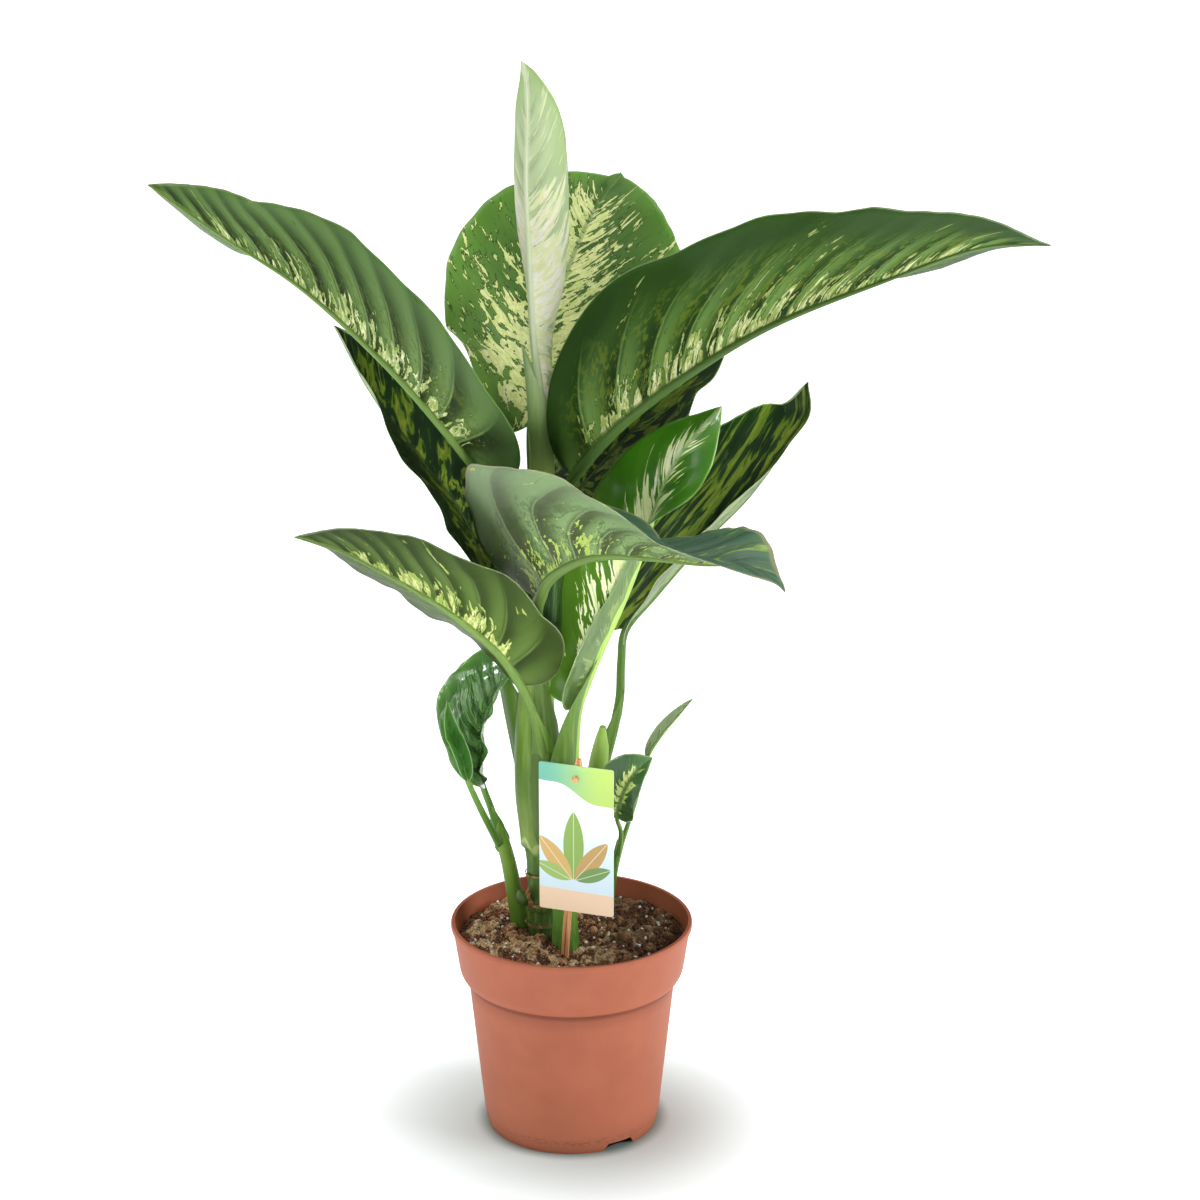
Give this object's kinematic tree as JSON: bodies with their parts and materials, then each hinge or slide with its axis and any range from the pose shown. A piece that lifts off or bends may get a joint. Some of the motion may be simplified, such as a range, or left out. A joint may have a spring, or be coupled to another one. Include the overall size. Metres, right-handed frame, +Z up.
{
  "type": "potted foliage plant",
  "caption": "Leafy house plant with broad variegated leaves on upright canes, standing in a round tapered nursery pot with soil and a care label on a stake.",
  "frame": {"origin": "middle of the pot's foot, on the surface it stands on", "axes": "+Z up along the plant's height; -Y towards the front, where the label hangs; +X to the right seen from the front"},
  "size_m": [0.5815, 0.3619, 0.7529],
  "materials": {
    "stem": "satin plant skin",
    "stem_pale": "satin plant skin",
    "leaf_new": "satin leaf",
    "leaf_light": "satin leaf, cream streaks",
    "leaf_mid": "matt leaf underside",
    "leaf_dark": "glossy leaf, yellow-green blotches",
    "leaf_bright": "glossy leaf, cream blotches",
    "leaf_pale": "matt leaf underside",
    "pot_plastic": "matt terracotta plastic",
    "soil": "crumbly potting soil",
    "label_card": "smooth coated card",
    "label_stake": "bare softwood"
  },
  "bodies": {
    "root": {"cane_main": "stem", "cane_second": "stem_pale", "shoot_left": "stem", "shoot_right": "stem", "shoot_small": "stem", "spear": "leaf_new", "back": "leaf_light", "upper_left": "leaf_mid", "upper_right": "leaf_mid", "dark_left": "leaf_dark", "dark_right": "leaf_dark", "lower_left": "leaf_mid", "glossy_right": "leaf_bright", "front_twisted": "leaf_pale", "outer_right": "leaf_dark", "small_left": "leaf_bright", "small_left_outer": "leaf_dark", "small_right": "leaf_bright", "narrow_right": "leaf_pale", "pot": "pot_plastic", "soil": "soil", "label_card": "label_card", "label_stake": "label_stake"}
  },
  "joints": []
}
